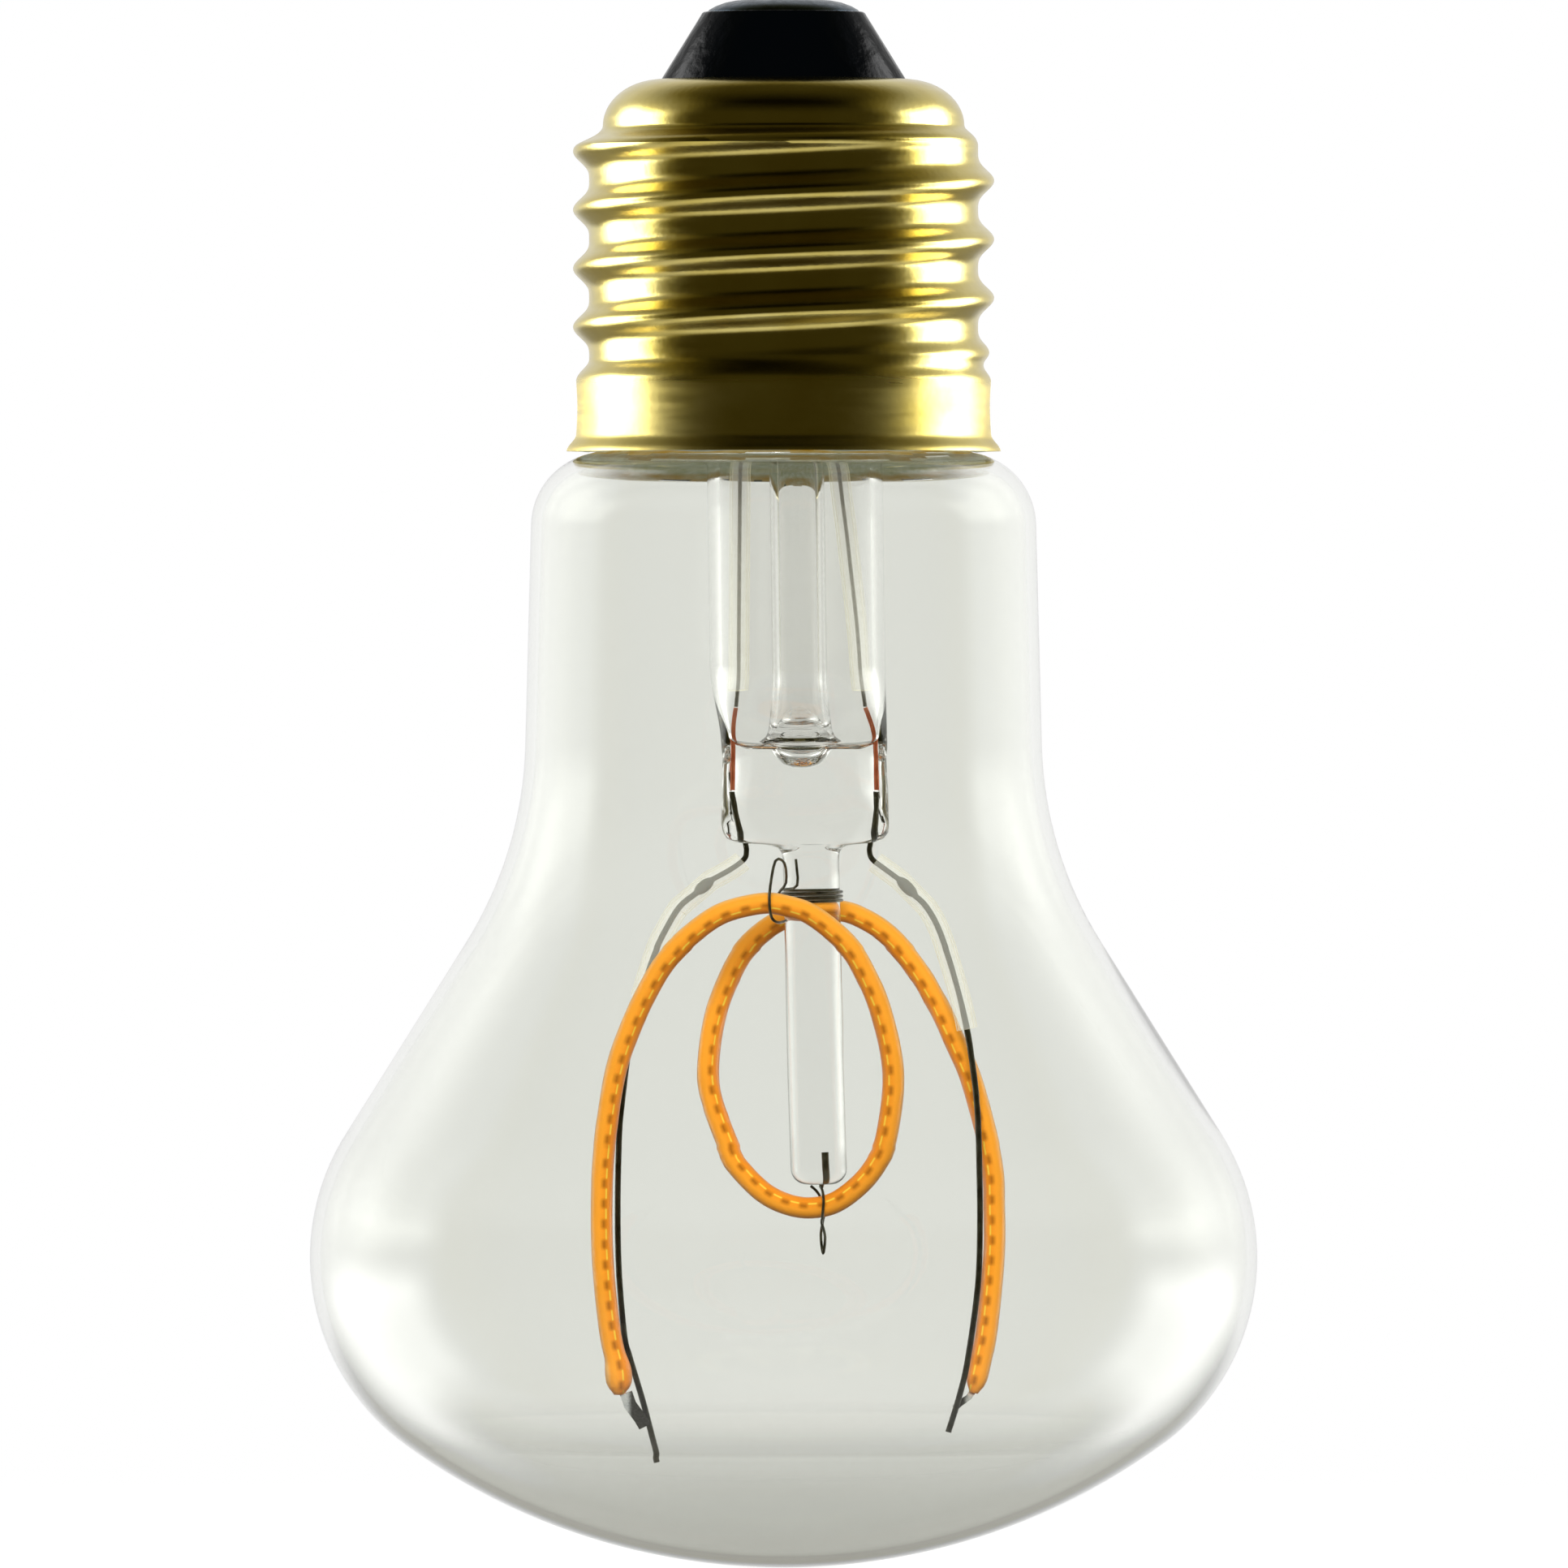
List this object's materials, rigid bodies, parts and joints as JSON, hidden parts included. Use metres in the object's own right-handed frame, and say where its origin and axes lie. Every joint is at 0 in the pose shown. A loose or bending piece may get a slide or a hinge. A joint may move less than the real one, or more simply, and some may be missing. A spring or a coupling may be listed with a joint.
{
  "type": "LED filament light bulb",
  "caption": "LED filament bulb with an E27 screw cap, a clear mushroom-shaped glass and a flexible orange filament looped round a glass rod.",
  "frame": {"origin": "middle of the centre contact's flat land, at the top of the cap", "axes": "+Z along the bulb's axis, out of the cap and into the lampholder; +X to the right and -Y to the viewer in the reference view; the glass is at negative Z"},
  "size_m": [0.0586, 0.0586, 0.0971],
  "materials": {
    "cap_brass": "satin, finely brushed round the axis",
    "black_glass": "glossy",
    "contact_metal": "satin",
    "cement": "matte",
    "board": "satin",
    "chip_package": "matte",
    "capacitor_sleeve": "glossy",
    "resistor_glaze": "satin",
    "fuse_coat": "satin",
    "live_insulation": "satin",
    "neutral_insulation": "satin",
    "bulb_glass": "polished",
    "stem_glass": "polished",
    "lead_wire": "satin",
    "clear_sleeve": "glossy",
    "copper_wire": "satin",
    "support_metal": "satin",
    "weld_metal": "rough",
    "strip_film": "satin",
    "diode": "glossy",
    "gold": "polished",
    "phosphor": "satin",
    "tab_metal": "satin",
    "tie_metal": "satin"
  },
  "bodies": {
    "root": {"screw_shell": "cap_brass", "insulator": "black_glass", "centre_contact": "contact_metal", "basing_cement": "cement", "driver_board": "board", "bridge_rectifier": "chip_package", "smoothing_capacitor": "capacitor_sleeve", "driver_chip": "chip_package", "chip_resistors": "resistor_glaze", "fusible_resistor": "fuse_coat", "live_lead": "live_insulation", "neutral_lead": "neutral_insulation", "glass_bulb": "bulb_glass", "stem_tube": "stem_glass", "pinch_seal": "stem_glass", "exhaust_tube": "stem_glass", "support_rod": "stem_glass", "left_lead": "lead_wire", "right_lead": "lead_wire", "left_lead_sleeve": "clear_sleeve", "right_lead_sleeve": "clear_sleeve", "left_seal_wire": "copper_wire", "right_seal_wire": "copper_wire", "left_inner_lead": "support_metal", "right_inner_lead": "support_metal", "left_weld_bead": "weld_metal", "right_weld_bead": "weld_metal", "left_support_wire": "support_metal", "right_support_wire": "support_metal", "left_support_sleeve": "clear_sleeve", "right_support_sleeve": "clear_sleeve", "filament_strip": "strip_film", "led_chips": "diode", "bond_wires": "gold", "inner_phosphor": "phosphor", "outer_phosphor": "phosphor", "left_end_tab": "tab_metal", "right_end_tab": "tab_metal", "upper_tie_wire": "tie_metal", "anchor_wire": "tie_metal", "lower_tie_wire": "tie_metal"}
  },
  "joints": []
}
